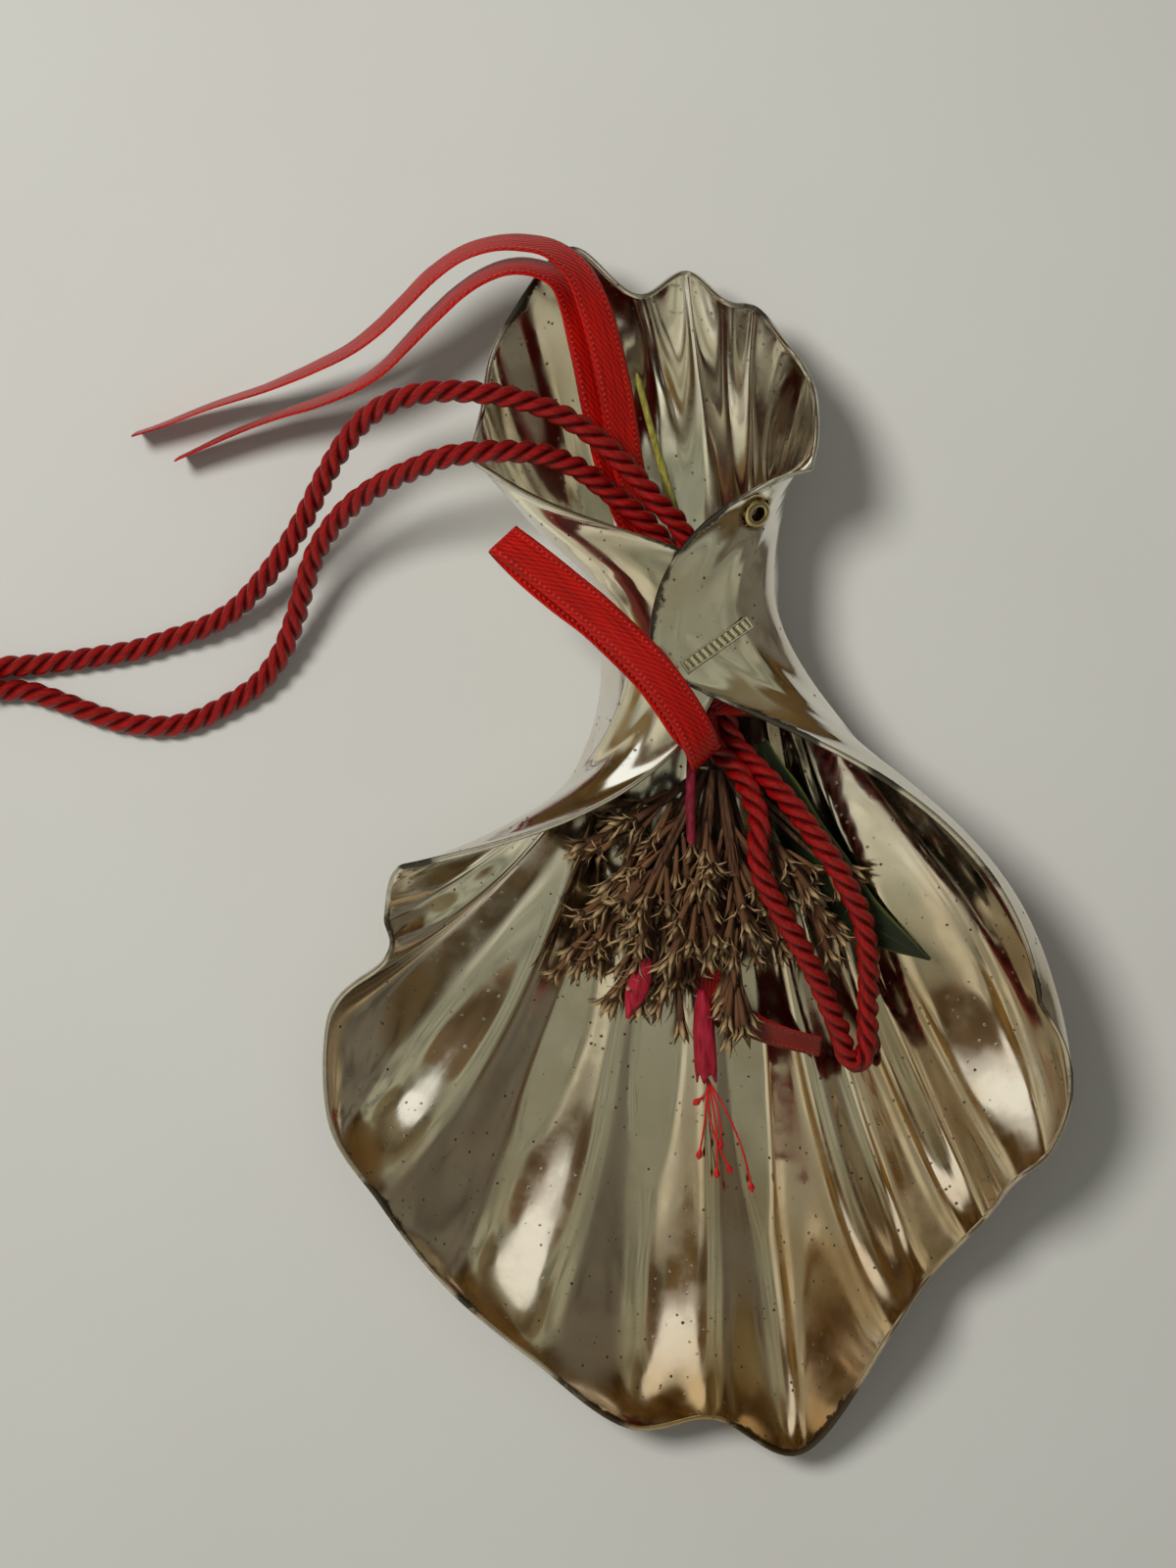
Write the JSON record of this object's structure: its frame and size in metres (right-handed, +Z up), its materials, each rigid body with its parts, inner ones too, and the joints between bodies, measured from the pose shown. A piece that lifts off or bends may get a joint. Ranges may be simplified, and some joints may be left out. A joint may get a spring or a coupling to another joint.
{
  "type": "good luck charm",
  "caption": "Rolled, fluted silvered sheet with a cup and a bowl, bound at its waist over dried flowers, a doubled red cord and a red ribbon.",
  "frame": {"origin": "On the table, under the middle of the silvered sheet's outline.", "axes": "+Y towards the small cup, +X to the right of someone who looks at the open side with the cup away from them, +Z up from the table."},
  "size_m": [0.1891, 0.1918, 0.0336],
  "materials": {
    "silver": "polished silvered sheet, tarnished along the rims",
    "eyelet_brass": "dulled nickelled brass",
    "cord": "three-ply twisted rayon cord, deep red",
    "ribbon": "red satin ribbon with woven edges",
    "dried_stem": "dry brown plant stems",
    "dried_flower": "dry brown florets with pale tips",
    "leaf": "dry dark green leaf",
    "red_flower": "dry pink-red petals and filaments",
    "green_stem": "dry yellow-green stem"
  },
  "bodies": {
    "root": {"silver_shell": "silver", "eyelet": "eyelet_brass", "hallmark_bar": "silver", "cord_upper_strand": "cord", "cord_lower_strand": "cord", "cord_bight": "cord", "cord_knot": "cord", "ribbon_long_tail": "ribbon", "ribbon_short_tail": "ribbon", "ribbon_front_loop": "ribbon", "ribbon_low_end": "ribbon", "ribbon_tie": "ribbon", "stem_bundle": "dried_stem", "dried_sprig_1": "dried_flower", "dried_sprig_2": "dried_flower", "dried_sprig_3": "dried_flower", "dried_sprig_4": "dried_flower", "dried_sprig_5": "dried_flower", "dried_sprig_6": "dried_flower", "dried_sprig_7": "dried_flower", "dried_sprig_8": "dried_flower", "dried_sprig_9": "dried_flower", "dried_sprig_10": "dried_flower", "dried_sprig_11": "dried_flower", "dried_sprig_12": "dried_flower", "large_leaf": "leaf", "red_petal": "red_flower", "red_flower": "red_flower", "stamens": "red_flower", "pink_stem": "red_flower", "green_stem": "green_stem"}
  },
  "joints": []
}
